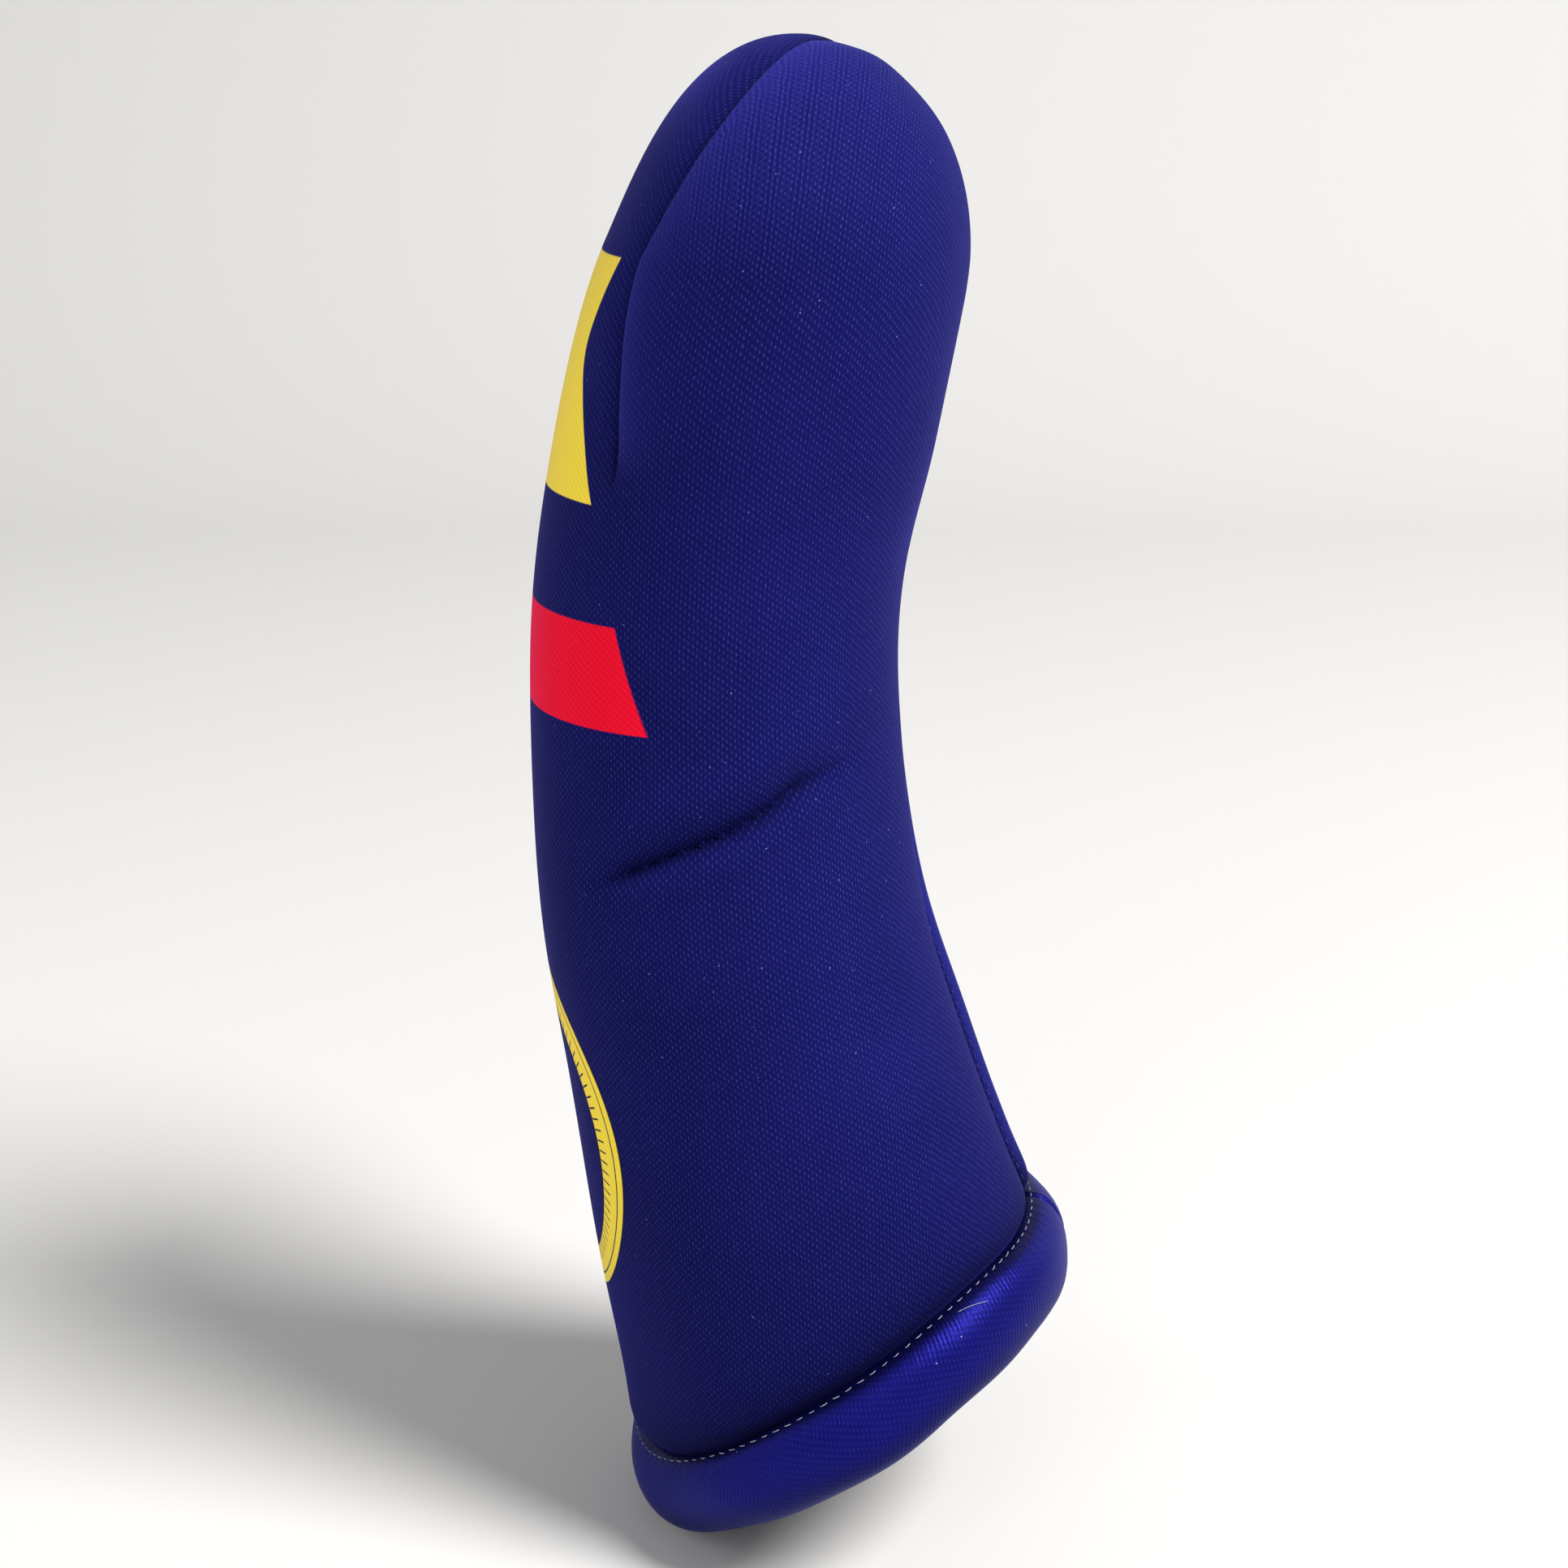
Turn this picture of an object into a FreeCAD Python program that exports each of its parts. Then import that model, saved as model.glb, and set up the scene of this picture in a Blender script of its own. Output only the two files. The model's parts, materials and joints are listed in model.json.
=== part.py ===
import FreeCAD, Part
import math
import os

import Sketcher

# A soft head cover for a fairway or hybrid club: a bent, padded tube with a rounded head
# pocket on top, a waist, a flared skirt and a fat rolled hem round its mouth. One panel of
# knit, foam and lining is wrapped round and sewn up the back, and two darts shape its top.
# Frame: origin at the middle of the mouth, +Z up the cover, -Y its printed front, +Y its
# back with the long seam, and X from side to side. Millimetres and degrees.

doc = FreeCAD.newDocument("HeadCover")
sheet = doc.addObject("Spreadsheet::Sheet", "Sizes")

# The rings of the body, from the mouth up. Each is an ellipse with these sizes, in order.
ringParts = ("y", "z", "tilt", "depth", "width")  # middle, tilt about X, half depth, half width
rings = {
    "hem": (-4.0, 17.5, 33.0, 50.0, 50.5),
    "skirt": (-8.5, 37.0, 26.0, 46.8, 49.0),
    "flare": (-12.2, 53.5, 19.0, 44.3, 47.5),
    "lower": (-18.2, 80.5, 10.5, 41.7, 45.0),
    "shaft": (-24.3, 109.0, 5.5, 39.5, 43.5),
    "waist": (-28.0, 147.0, 1.0, 37.3, 43.0),
    "neck": (-26.0, 184.5, -4.0, 36.2, 45.5),
    "shoulder": (-20.6, 210.5, -8.0, 36.6, 49.0),
    "head": (-13.8, 239.0, -8.0, 35.2, 50.5),
}

sizes = {
    "dome_height": 42.0,  # from the head ring to the top, along the head's axis
    "dome_lean": 3.0,  # how far the front of the dome falls back towards the top
    "knit_thick": 0.6,  # printed outer knit
    "foam_thick": 2.9,  # cushion foam between the two knits
    "lining_thick": 0.5,  # inner knit
    "band_height": 18.0,  # the roll of the hem, from its seam to its lowest edge
    "band_radius": 48.2,  # the roll's middle line, round the mouth
    "band_swell": 7.0,  # half the roll's thickness
    "band_knit": 0.7,  # knit skin of the roll
    "thread_radius": 0.22,
    "stitch_length": 1.7,
    "stitch_lift": 0.45,  # from the knit to a stitch's middle
    "hem_stitches": 108,
    "seam_pitch": 3.0,  # stitch spacing of the back seam and the darts
    "band_end_pitch": 2.2,
    "dart_width": 34.0,  # half the width of the tongue between the ends of the darts
    "dart_end_y": -46.0,
    "dart_end_z": 202.0,
    "dart_bend_width": 36.0,  # a point where the dart starts to turn in over the top
    "dart_bend_y": -34.0,
    "dart_bend_z": 255.0,
    "tip_y": -3.4,  # both darts and the back seam meet here, on top
    "tip_z": 281.0,
}

domeAngles = [26, 48, 68, 85]  # degrees up the dome, from the head ring
rollAngles = [-74, -50, -25, 0, 25, 50, 74]  # degrees round the roll's section, top to bottom

for ring, values in rings.items():
    for part, value in zip(ringParts, values):
        sizes[ring + "_" + part] = value
for row, (name, value) in enumerate(sizes.items(), start=1):
    sheet.set("A" + str(row), name)
    sheet.set("B" + str(row), str(value))
    sheet.setAlias("B" + str(row), name)
doc.recompute()


def size(name):
    return float(sheet.get(name))


def originPart(body, role):
    return next(item for item in body.Origin.OriginFeatures if item.Role == role)


def newBody(label):
    body = doc.addObject("PartDesign::Body", label)
    body.Label = label
    return body


def ringSketch(body, name, middleY, middleZ, tilt, halfWidth, halfDepth):
    """An ellipse in a plane turned about X. The last five arguments are expressions."""
    sketch = body.newObject("Sketcher::SketchObject", name)
    sketch.AttachmentSupport = (originPart(body, "XY_Plane"), [""])
    sketch.MapMode = "FlatFace"
    place = "placement(vector(0; {}; {}); rotation(vector(1; 0; 0); {}))"
    sketch.setExpression("AttachmentOffset", place.format(middleY, middleZ, tilt))
    major = FreeCAD.Vector(20, 0, 0)
    minor = FreeCAD.Vector(0, 15, 0)
    sketch.addGeometry(Part.Ellipse(major, minor, FreeCAD.Vector()), False)
    sketch.exposeInternalGeometry(0)
    sketch.addConstraint(Sketcher.Constraint("Coincident", 0, 3, -1, 1))
    sketch.addConstraint(Sketcher.Constraint("Horizontal", 1))
    across = sketch.addConstraint(Sketcher.Constraint("Distance", 1, 40))
    deep = sketch.addConstraint(Sketcher.Constraint("Distance", 2, 30))
    sketch.renameConstraint(across, "Across")
    sketch.renameConstraint(deep, "Deep")
    sketch.setExpression("Constraints.Across", "2 * (" + halfWidth + ")")
    sketch.setExpression("Constraints.Deep", "2 * (" + halfDepth + ")")
    return sketch


def loft(body, kind, name, sketches):
    feature = body.newObject("PartDesign::" + kind, name)
    feature.Profile = sketches[0]
    feature.Sections = sketches[1:]
    return feature


def tubeRings(body, name, inset):
    """The rings of the bent tube and its dome, all drawn in by the same inset."""
    sketches = []
    for ring in rings:
        cells = ["Sizes." + ring + "_" + part for part in ringParts]
        sketches.append(ringSketch(
            body, name + "_" + ring, *cells[:3], cells[4] + " - " + inset, cells[3] + " - " + inset))
    for angle in domeAngles:
        rise = "(Sizes.dome_height - {}) * sin({} deg)".format(inset, angle)
        lean = "Sizes.dome_lean * sin({} deg)".format(angle)
        sketches.append(ringSketch(
            body, name + "_dome_" + str(angle),
            "Sizes.head_y - {} * sin(Sizes.head_tilt * 1 deg) + {} / 2".format(rise, lean),
            "Sizes.head_z + {} * cos(Sizes.head_tilt * 1 deg)".format(rise),
            "Sizes.head_tilt",
            "(Sizes.head_width - {}) * cos({} deg)".format(inset, angle),
            "(Sizes.head_depth - {} - {} / 2) * cos({} deg)".format(inset, lean, angle)))
    return sketches


def layer(label, outerInset, innerInset):
    """One layer of the panel: a tube with its dome, less a slightly smaller one."""
    body = newBody(label)
    loft(body, "AdditiveLoft", label + "_outside", tubeRings(body, label + "_out", outerInset))
    loft(body, "SubtractiveLoft", label + "_inside", tubeRings(body, label + "_in", innerInset))
    return body


def rollRings(body, name, side, inset):
    """Rings round the roll: side is + for its outer wall and - for the wall of the mouth."""
    sketches = []
    top = math.sin(math.radians(rollAngles[0]))
    for angle in rollAngles:
        share = (math.sin(math.radians(angle)) - top) / (-2 * top)
        left = "(1 - {:.4f} * (Sizes.band_height - {}) / Sizes.band_height)".format(share, inset)
        swell = "(Sizes.band_swell - {}) * cos({} deg)".format(inset, angle)
        depth = "Sizes.band_radius {} {}".format(side, swell)
        sketches.append(ringSketch(
            body, name + "_" + str(angle - rollAngles[0]),
            "Sizes.hem_y * " + left, "Sizes.hem_z * " + left, "Sizes.hem_tilt",
            "Sizes.hem_width - Sizes.hem_depth + " + depth, depth))
    return sketches


def hemBandSkin():
    """The knit strip folded over the roll: a U in section, open towards the body's edge."""
    body = newBody("hem_band_face_knit")
    loft(body, "AdditiveLoft", "band_outside", rollRings(body, "band_out", "+", "0"))
    loft(body, "SubtractiveLoft", "band_core_out", rollRings(body, "band_a", "+", "Sizes.band_knit"))
    loft(body, "AdditiveLoft", "band_core_in", rollRings(body, "band_b", "-", "Sizes.band_knit"))
    loft(body, "SubtractiveLoft", "band_mouth", rollRings(body, "band_in", "-", "0"))
    return body


def hemBandFoam():
    """The foam that the knit strip is folded round."""
    body = newBody("hem_band_foam")
    loft(body, "AdditiveLoft", "core_outside", rollRings(body, "core_out", "+", "Sizes.band_knit"))
    loft(body, "SubtractiveLoft", "core_inside", rollRings(body, "core_in", "-", "Sizes.band_knit"))
    return body


def hemStitches():
    """Straight stitches in the groove between the body and the roll, right round the mouth."""
    body = newBody("hem_seam_thread")
    body.AllowCompound = True
    body.setExpression(
        "Placement",
        "placement(vector(0; Sizes.hem_y; Sizes.hem_z); rotation(vector(1; 0; 0); Sizes.hem_tilt))")
    sketch = body.newObject("Sketcher::SketchObject", "hem_stitch_section")
    sketch.AttachmentSupport = (originPart(body, "XZ_Plane"), [""])
    sketch.MapMode = "FlatFace"
    circle = Part.Circle(FreeCAD.Vector(50, 0, 0), FreeCAD.Vector(0, 0, 1), 1)
    sketch.addGeometry(circle, False)
    radius = sketch.addConstraint(Sketcher.Constraint("Radius", 0, 1))
    out = sketch.addConstraint(Sketcher.Constraint("DistanceX", -1, 1, 0, 3, 50))
    up = sketch.addConstraint(Sketcher.Constraint("DistanceY", -1, 1, 0, 3, 1))
    for index, name in ((radius, "Radius"), (out, "Out"), (up, "Up")):
        sketch.renameConstraint(index, name)
    sketch.setExpression("Constraints.Radius", "Sizes.thread_radius")
    sketch.setExpression("Constraints.Out", "Sizes.hem_width + Sizes.stitch_lift")
    sketch.setExpression("Constraints.Up", "Sizes.thread_radius * 0.7")
    stitch = body.newObject("PartDesign::Pad", "hem_stitch")
    stitch.Profile = sketch
    stitch.Midplane = True
    stitch.setExpression("Length", "Sizes.stitch_length")
    row = body.newObject("PartDesign::PolarPattern", "hem_stitch_row")
    row.Originals = [stitch]
    row.Axis = (originPart(body, "Z_Axis"), [""])
    row.Angle = 360
    row.setExpression("Occurrences", "Sizes.hem_stitches")
    body.Tip = row
    return body


def seamLine(solid, normal, point, keep, pitch):
    """Points at one pitch, with directions and normals, where a plane cuts a loft's side."""
    side = max(solid.Faces, key=lambda face: face.Area)
    line = []
    for wire in side.slice(normal, normal.dot(point)):
        points = wire.discretize(Distance=pitch)
        for here, after in zip(points, points[1:]):
            if keep(here):
                along = (after - here).normalize()
                outward = side.normalAt(*side.Surface.parameter(here))
                line.append((here, along, outward))
    return line


def stitchRow(label, line):
    """One short straight stitch on each point of a seam line, just clear of the knit."""
    stitches = []
    for here, along, outward in line:
        middle = here + outward * size("stitch_lift")
        start = middle - along * (size("stitch_length") / 2)
        stitches.append(Part.makeCylinder(
            size("thread_radius"), size("stitch_length"), start, along))
    thread = doc.addObject("Part::Feature", label)
    thread.Label = label
    thread.Shape = Part.makeCompound(stitches)
    thread.Placement = FreeCAD.Placement()
    return thread


def dartStitches(label, side):
    """The dart lies in one plane through its end, its bend and the tip; side is 1 or -1."""
    end = FreeCAD.Vector(side * size("dart_width"), size("dart_end_y"), size("dart_end_z"))
    bend = FreeCAD.Vector(
        side * size("dart_bend_width"), size("dart_bend_y"), size("dart_bend_z"))
    tip = FreeCAD.Vector(0, size("tip_y"), size("tip_z"))
    normal = (bend - end).cross(tip - end).normalize()
    outside = doc.getObject("body_face_knit_outside").Shape
    return stitchRow(label, seamLine(
        outside, normal, tip,
        lambda p: p.x * side > 1.5 and p.z > end.z and p.y < tip.y, size("seam_pitch")))


def backStitches():
    """The back seam lies in the middle plane, from the tip down to the hem."""
    outside = doc.getObject("body_face_knit_outside").Shape
    middle = FreeCAD.Vector(1, 0, 0)
    head = size("head_y")
    return stitchRow("back_seam_thread", seamLine(
        outside, middle, FreeCAD.Vector(),
        lambda p: p.y > size("tip_y") + 2 if p.z > size("head_z") else p.y > head, size("seam_pitch")))


def bandEndStitches():
    """The strip's two ends meet at the back, under the back seam."""
    outside = doc.getObject("band_outside").Shape
    return stitchRow("hem_band_end_seam_thread", seamLine(
        outside, FreeCAD.Vector(1, 0, 0), FreeCAD.Vector(),
        lambda p: p.y > size("hem_y") and p.z > 30, size("band_end_pitch")))


knitInset = "0"
foamInset = "Sizes.knit_thick"
liningInset = "(Sizes.knit_thick + Sizes.foam_thick)"
cavityInset = "(Sizes.knit_thick + Sizes.foam_thick + Sizes.lining_thick)"

subParts = [
    layer("body_face_knit", knitInset, foamInset),
    layer("body_foam", foamInset, liningInset),
    layer("body_lining", liningInset, cavityInset),
    hemBandSkin(),
    hemBandFoam(),
    hemStitches(),
]
doc.recompute()
subParts.append(backStitches())
subParts.append(dartStitches("dart_seam_thread_left", 1))
subParts.append(dartStitches("dart_seam_thread_right", -1))
subParts.append(bandEndStitches())
doc.recompute()

for item in doc.Objects:
    if "Invalid" in item.State or "Error" in item.State:
        raise RuntimeError(item.Name + " did not build: " + str(item.State))
for item in subParts:
    if item.Shape.isNull() or not item.Shape.isValid():
        raise RuntimeError(item.Label + " has no valid shape")

os.makedirs("parts", exist_ok=True)
for item in subParts:
    item.Shape.exportStep("parts/" + item.Label + ".step")
    print(item.Label, len(item.Shape.Solids), "solids", round(item.Shape.Volume), "mm3")
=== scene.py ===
import functools
import json
import math

import bpy
import numpy as np
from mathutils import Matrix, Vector

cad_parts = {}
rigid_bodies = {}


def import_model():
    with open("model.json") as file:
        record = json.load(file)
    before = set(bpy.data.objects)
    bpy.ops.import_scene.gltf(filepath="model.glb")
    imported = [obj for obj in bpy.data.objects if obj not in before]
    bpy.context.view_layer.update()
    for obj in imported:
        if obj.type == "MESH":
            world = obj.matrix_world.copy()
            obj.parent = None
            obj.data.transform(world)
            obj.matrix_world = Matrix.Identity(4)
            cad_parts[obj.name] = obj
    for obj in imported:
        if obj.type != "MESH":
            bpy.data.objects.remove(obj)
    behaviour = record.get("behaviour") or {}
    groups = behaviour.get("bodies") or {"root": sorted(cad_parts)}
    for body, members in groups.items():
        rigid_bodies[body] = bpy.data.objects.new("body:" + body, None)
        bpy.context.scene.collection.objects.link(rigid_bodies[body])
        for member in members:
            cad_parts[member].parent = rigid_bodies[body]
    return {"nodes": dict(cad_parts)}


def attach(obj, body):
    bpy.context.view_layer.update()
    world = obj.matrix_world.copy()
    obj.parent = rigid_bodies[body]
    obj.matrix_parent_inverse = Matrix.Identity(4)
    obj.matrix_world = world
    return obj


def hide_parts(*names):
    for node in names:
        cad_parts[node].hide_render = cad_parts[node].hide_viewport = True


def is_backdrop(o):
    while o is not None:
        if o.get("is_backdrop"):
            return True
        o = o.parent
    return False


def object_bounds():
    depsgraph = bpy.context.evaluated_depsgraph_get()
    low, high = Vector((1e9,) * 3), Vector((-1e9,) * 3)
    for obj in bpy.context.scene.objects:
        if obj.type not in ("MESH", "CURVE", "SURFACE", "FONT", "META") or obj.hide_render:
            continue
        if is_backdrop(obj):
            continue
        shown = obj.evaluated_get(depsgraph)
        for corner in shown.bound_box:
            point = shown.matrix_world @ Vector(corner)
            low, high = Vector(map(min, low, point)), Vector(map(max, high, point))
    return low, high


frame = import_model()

cadLow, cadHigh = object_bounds()
mm = 0.001
join = np.concatenate
print("frame loaded:", len(frame["nodes"]), "nodes")


def hexColour(text, alpha=1.0):
    # sRGB hex to linear: below 0.04045 a straight line, above it a power of 2.4
    value = np.array([int(text[i:i + 2], 16) for i in (1, 3, 5)]) / 255
    linear = np.where(value <= 0.04045, value / 12.92, ((value + 0.055) / 1.055) ** 2.4)
    return (*linear.tolist(), alpha)


def addNode(tree, kind, inputs=(), operation=None, **settings):
    # one node with its settings; an input is a value, or a socket to link from; gives back its outputs
    node = tree.nodes.new("ShaderNode" + kind)
    if operation:
        node.operation = operation
    for name, value in settings.items():
        setattr(node, name, value)
    for key, value in inputs.items() if isinstance(inputs, dict) else enumerate(inputs):
        if isinstance(value, bpy.types.NodeSocket):
            tree.links.new(value, node.inputs[key])
        else:
            node.inputs[key].default_value = value
    return node.outputs


def newMaterial(name):
    # a material, its shader, and the function that adds nodes to it
    material = bpy.data.materials.new(name)
    material.use_nodes = True
    tree = material.node_tree
    return material, tree.nodes["Principled BSDF"], functools.partial(addNode, tree)


def smoothStep(low, high, x):
    # 0 below low, 1 above high, and 3t^2 - 2t^3 between
    t = np.clip((x - low) / (high - low), 0, 1)
    return t * t * (3 - 2 * t)


def through(knots, values, x, lastSlope=None):
    # cubic pieces through the knots, with each knot's slope taken from its neighbours
    knots, values = np.asarray(knots, float), np.asarray(values, float)
    slope = np.gradient(values, knots)
    if lastSlope is not None:
        slope[-1] = lastSlope
    i = np.clip(np.searchsorted(knots, x, side="right") - 1, 0, len(knots) - 2)
    gap = knots[i + 1] - knots[i]
    t = (x - knots[i]) / gap
    return ((1 + 2 * t) * (1 - t) ** 2 * values[i] + t * (1 - t) ** 2 * gap * slope[i]
            + t * t * (3 - 2 * t) * values[i + 1] + t * t * (t - 1) * gap * slope[i + 1])


def unit(v):
    return v / np.maximum(np.linalg.norm(v, axis=-1, keepdims=True), 1e-12)


def gridQuads(rows, columns, wrap=True, flip=False):
    # corner numbers of the quads of a grid whose columns may close on themselves
    r, c = np.meshgrid(np.arange(rows - 1), np.arange(columns if wrap else columns - 1), indexing="ij")
    after = (c + 1) % columns
    quads = np.stack([r * columns + c, r * columns + after,
                      (r + 1) * columns + after, (r + 1) * columns + c], -1).reshape(-1, 4)
    return quads[:, ::-1] if flip else quads


def neighbours(count):
    # the numbers round a closed ring, and the number after each
    here = np.arange(count)
    return here, (here + 1) % count


def newObject(name, data):
    thing = bpy.data.objects.new(name, data)
    bpy.context.scene.collection.objects.link(thing)
    return thing


def aimedObject(name, data, place, target):
    # a camera or a lamp that looks from its place to a target
    thing = newObject(name, data)
    thing.location = place
    thing.rotation_mode = "QUATERNION"
    thing.rotation_quaternion = (Vector(target) - Vector(place)).to_track_quat("-Z", "Y")
    return thing


def newPiece(name, points, faces, material, uv=None, marks=None):
    # a mesh object at the origin, from points in millimetres
    # uv holds one pair per face corner, and marks hold one number per point, by name
    mesh = bpy.data.meshes.new(name)
    mesh.from_pydata((np.asarray(points) * mm).tolist(), [], faces)
    if uv is not None:
        layer = mesh.uv_layers.new(name="panel")
        layer.data.foreach_set("uv", np.asarray(uv, np.float32).ravel())
    for mark, values in (marks or {}).items():
        layer = mesh.attributes.new(mark, "FLOAT", "POINT")
        layer.data.foreach_set("value", np.asarray(values, np.float32))
    mesh.polygons.foreach_set("use_smooth", np.ones(len(mesh.polygons), bool))
    mesh.materials.append(material)
    mesh.update()
    return newObject(name, mesh)


# the camera stands at the height of the cover's head, square to its side; places are in metres
view = {"place": (0.520, -0.014, 0.287), "target": (0.0, -0.014, 0.134), "lens": 61.0, "sensor": 36}

cameraData = bpy.data.cameras.new("camera")
cameraData.lens = view["lens"]
cameraData.sensor_width = view["sensor"]
cameraData.clip_start, cameraData.clip_end = 0.02, 60
bpy.context.scene.camera = aimedObject("camera", cameraData, view["place"], view["target"])


# the body's rings up the cover, in millimetres and degrees
body = {
    "z": (17.5, 37.0, 53.5, 80.5, 109.0, 147.0, 184.5, 210.5, 239.0),
    "y": (-4.0, -8.5, -12.2, -18.2, -24.3, -28.0, -26.0, -20.6, -13.8),
    "tilt": (33.0, 26.0, 19.0, 10.5, 5.5, 1.0, -4.0, -8.0, -8.0),
    "depth": (50.0, 46.8, 44.3, 41.7, 39.5, 37.3, 36.2, 36.6, 35.2),
    "width": (50.5, 49.0, 47.5, 45.0, 43.5, 43.0, 45.5, 49.0, 50.5),
    "domeHeight": 42.0,
    "tipTurn": 6.0,  # degrees from the dome's own axis back to the tip where the seams meet
    "frontTaper": 0.27,  # how much faster the front falls back than the rear does, at the head ring
    "frontLevel": 1.3,  # how soon that levels off up the dome
    "dartShare": 0.3,  # share of half the way round that the tongue takes
    "dartEndZ": 201.0,
    "dartZ": (17.5, 150.0, 200.0, 215.0, 228.0, 239.0),
    "dartBelow": (50.0, 52.0, 51.0, 45.5, 41.0, 39.5),  # how far round it lies at those heights
    "dartBelowSlope": 0.1,
    "dartDome": (0.0, 0.25, 0.5, 0.75, 1.0),
    "dartAbove": (39.5, 45.0, 50.0, 50.5, 46.0),  # and at those shares of the way up the dome
    "rowStep": 0.85,
    "slack": 0.8,  # how much smaller the cloth starts, because it swells
    "domeRows": 72,
    "layers": {"knit": 0.6, "foam": 2.9, "lining": 0.5},
}
headZ = body["z"][-1]
hemZ = body["z"][0]
dartEndZ = body["dartEndZ"]


def frontFall(z, rise):
    # how much shallower the front half is: it starts between the last two rings, and levels off up the dome
    gap = headZ - body["z"][-2]
    t = np.clip((z - body["z"][-2]) / gap, 0, 1)
    level = rise / (1 + body["frontLevel"] * rise)
    return body["frontTaper"] * (gap * t * t * (t - 1) + body["domeHeight"] * level)


def tubePoints(z, angle):
    # an ellipse at height z: X is half width x sin, and the depth runs with -cos, both turned by the tilt
    tilt = np.radians(through(body["z"], body["tilt"], z, 0))
    y = through(body["z"], body["y"], z, math.tan(math.radians(-body["tilt"][-1])))
    depth, width = (through(body["z"], body[name], z, 0) for name in ("depth", "width"))
    depth = np.where(np.cos(angle) > 0, depth - frontFall(z, 0), depth)
    deep = -depth * np.cos(angle)
    return np.stack([width * np.sin(angle), y + deep * np.cos(tilt), z + deep * np.sin(tilt)], -1)


def domePoints(t, angle):
    # half an ellipsoid; each column is the great circle from its place on the head ring to the tip
    turn, tilt = math.radians(body["tipTurn"]), math.radians(body["tilt"][-1])
    start = np.stack([np.sin(angle), -np.cos(angle), 0 * angle], -1)
    tip = np.array([0, math.sin(turn), math.cos(turn)])
    spread = np.arccos(np.clip(start @ tip, -1, 1))
    n = np.sin((1 - t) * spread)[..., None] * start + np.sin(t * spread)[..., None] * tip
    n = n / np.sin(spread)[..., None]
    x = body["width"][-1] * n[..., 0]
    fall = np.where(n[..., 1] < 0, frontFall(headZ, np.clip(n[..., 2], 0, 1)), 0)
    deep = (body["depth"][-1] - fall) * n[..., 1]
    up = body["domeHeight"] * n[..., 2]
    y = body["y"][-1] + deep * math.cos(tilt) - up * math.sin(tilt)
    z = headZ + deep * math.sin(tilt) + up * math.cos(tilt)
    return np.stack([x, y, z], -1)


def dartAngle(z, t):
    # how far round from the front the dart lies, in radians: below the head ring by z, above it by t
    low = through(body["dartZ"], body["dartBelow"], z, body["dartBelowSlope"])
    high = through(body["dartDome"], body["dartAbove"], t)
    return np.radians(np.where(t > 0, high, low))


# how far up the wall the roll is drawn, in millimetres: least at the front, and down at the back
hem = {"front": 1.3, "side": 1.3, "back": -4.4, "flank": 1.8, "flankHalf": 1.0}


def sideShare(angle):
    # 1 at the rear half of each side and 0 at the front and the back
    degrees = np.degrees(np.abs(angle))
    return smoothStep(35, 95, degrees) * (1 - smoothStep(130, 172, degrees))


def hemLift(angle):
    # how far up the wall the roll is drawn: each part of the hem adds its own share
    degrees = np.degrees(np.abs(angle))
    return (hem["front"] + hem["side"] * smoothStep(20, 70, degrees)
            + hem["back"] * smoothStep(115, 172, degrees) + hem["flank"] * sideShare(angle))


def rollHalf(angle):
    # half the roll's height: it is fullest where it is drawn up most
    return band["halfHeight"] + hem["flankHalf"] * sideShare(angle)


def roundAngle(across, dart):
    # the way round from the front: in even steps up to the dart, and in even steps from there to the back
    share = body["dartShare"]
    away = np.abs(across)
    beyond = dart + (np.pi - dart) * (away - share) / (1 - share)
    return np.where(away < share, dart * away / share, beyond) * np.sign(across)


def bodySurface(height, across):
    # height: 0..1 is the tube and 1..2 the dome; across: -1..1 round from the back over the front
    height, across = np.broadcast_arrays(height, across)
    z = hemZ + (headZ - hemZ) * np.clip(height, -0.02, 1)
    t = np.clip(height - 1, 0, 1)
    angle = roundAngle(across, dartAngle(z, t))
    return np.where((t > 0)[..., None], domePoints(t, angle), tubePoints(z, angle))


def spreadOut(first, last, count):
    # distances that grow evenly from first to last, added up and scaled to end at 1
    steps = np.cumsum(np.geomspace(first, last, count))
    return steps / steps[-1]


# first and last step and their number, each as spreadOut takes them, and the petal's shares they fill
spacing = {"tongue": (0.4, 2.4, 22), "near": (0.35, 2.2, 26), "far": (0.35, 2.2, 22),
           "nearPart": 0.36, "farPart": 0.30, "middle": 18}


def bodyColumns():
    # columns close together beside the darts and the back seam, and wide apart between them
    share = body["dartShare"]
    tongue = share * (1 - spreadOut(*spacing["tongue"])[::-1])
    near = spreadOut(*spacing["near"]) * spacing["nearPart"]
    far = 1 - spreadOut(*spacing["far"])[::-1] * spacing["farPart"]
    middle = np.linspace(near[-1], far[0], spacing["middle"])[1:-1]
    petal = share + (1 - share) * join([[0], near, middle, far, [1]])
    half = np.unique(join([tongue, petal]).round(6))
    return join([-half[:0:-1], half])


trialCloth = {"frames": 20, "cap": 3.0, "top": 1.97, "scale": 10}  # scale: times up, where cloth is stable
clothSettings = {"vertex_group_mass": "held", "use_pressure": True, "uniform_pressure_force": 4.0,
                 "tension_stiffness": 15, "compression_stiffness": 15, "bending_stiffness": 2, "quality": 6}


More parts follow.
